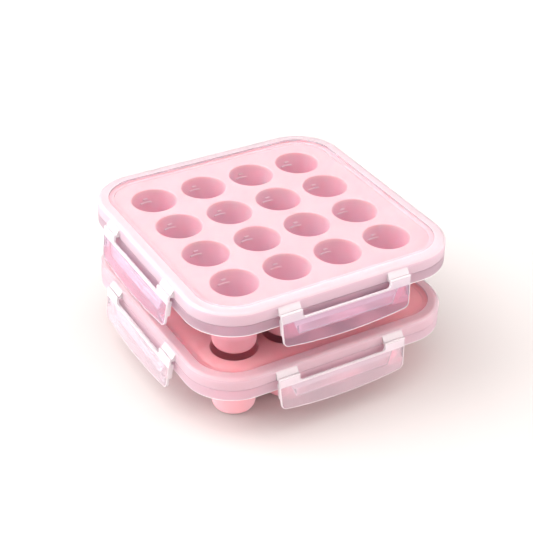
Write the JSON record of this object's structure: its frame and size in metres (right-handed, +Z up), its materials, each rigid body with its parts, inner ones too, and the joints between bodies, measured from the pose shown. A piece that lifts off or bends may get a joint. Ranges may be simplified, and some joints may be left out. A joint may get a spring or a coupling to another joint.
{
  "type": "baby food freezer tray",
  "caption": "Stackable freezer tray for baby food: a soft silicone block of round cups in a plastic frame, under a clear lid that is held by hinged snap flaps.",
  "frame": {"origin": "on the surface that the stack stands on, under the middle of the stack", "axes": "+Z up through the stack, +X to the right and +Y to the back, each square to one side of the trays"},
  "size_m": [0.1818, 0.1818, 0.0888],
  "materials": {
    "silicone": "soft matt silicone",
    "frame_plastic": "frosted translucent polypropylene",
    "lid_plastic": "clear, faintly frosted polypropylene",
    "flap_plastic": "clear, faintly frosted polypropylene"
  },
  "bodies": {
    "lower_base": {"lower_tray": "silicone", "lower_frame": "frame_plastic"},
    "lower_lid": {"lower_lid": "lid_plastic"},
    "lower_flap_right": {"lower_flap_right": "flap_plastic"},
    "lower_flap_back": {"lower_flap_back": "flap_plastic"},
    "lower_flap_left": {"lower_flap_left": "flap_plastic"},
    "lower_flap_front": {"lower_flap_front": "flap_plastic"},
    "upper_base": {"upper_tray": "silicone", "upper_frame": "frame_plastic"},
    "upper_lid": {"upper_lid": "lid_plastic"},
    "upper_flap_right": {"upper_flap_right": "flap_plastic"},
    "upper_flap_back": {"upper_flap_back": "flap_plastic"},
    "upper_flap_left": {"upper_flap_left": "flap_plastic"},
    "upper_flap_front": {"upper_flap_front": "flap_plastic"}
  },
  "joints": [
    {"name": "lower_lid_lift", "type": "slide", "parent": "lower_base", "child": "lower_lid", "axis": [0, 0, 1], "range_m": [0, 0.05]},
    {"name": "lower_right_flap_hinge", "type": "hinge", "parent": "lower_lid", "child": "lower_flap_right", "pos_m": [0.0876, 0, 0.0388], "axis": [0, -1, 0], "range_deg": [-6.5, 125]},
    {"name": "lower_back_flap_hinge", "type": "hinge", "parent": "lower_lid", "child": "lower_flap_back", "pos_m": [0, 0.0876, 0.0388], "axis": [1, 0, 0], "range_deg": [-6.5, 125]},
    {"name": "lower_left_flap_hinge", "type": "hinge", "parent": "lower_lid", "child": "lower_flap_left", "pos_m": [-0.0876, 0, 0.0388], "axis": [0, 1, 0], "range_deg": [-6.5, 125]},
    {"name": "lower_front_flap_hinge", "type": "hinge", "parent": "lower_lid", "child": "lower_flap_front", "pos_m": [0, -0.0876, 0.0388], "axis": [-1, 0, 0], "range_deg": [-6.5, 125]},
    {"name": "upper_tray_lift", "type": "slide", "parent": "lower_lid", "child": "upper_base", "axis": [0, 0, 1], "range_m": [0, 0.06]},
    {"name": "upper_lid_lift", "type": "slide", "parent": "upper_base", "child": "upper_lid", "axis": [0, 0, 1], "range_m": [0, 0.05]},
    {"name": "upper_right_flap_hinge", "type": "hinge", "parent": "upper_lid", "child": "upper_flap_right", "pos_m": [0.0876, 0, 0.0828], "axis": [0, -1, 0], "range_deg": [-6.5, 125]},
    {"name": "upper_back_flap_hinge", "type": "hinge", "parent": "upper_lid", "child": "upper_flap_back", "pos_m": [0, 0.0876, 0.0828], "axis": [1, 0, 0], "range_deg": [-6.5, 125]},
    {"name": "upper_left_flap_hinge", "type": "hinge", "parent": "upper_lid", "child": "upper_flap_left", "pos_m": [-0.0876, 0, 0.0828], "axis": [0, 1, 0], "range_deg": [-6.5, 125]},
    {"name": "upper_front_flap_hinge", "type": "hinge", "parent": "upper_lid", "child": "upper_flap_front", "pos_m": [0, -0.0876, 0.0828], "axis": [-1, 0, 0], "range_deg": [-6.5, 125]}
  ]
}
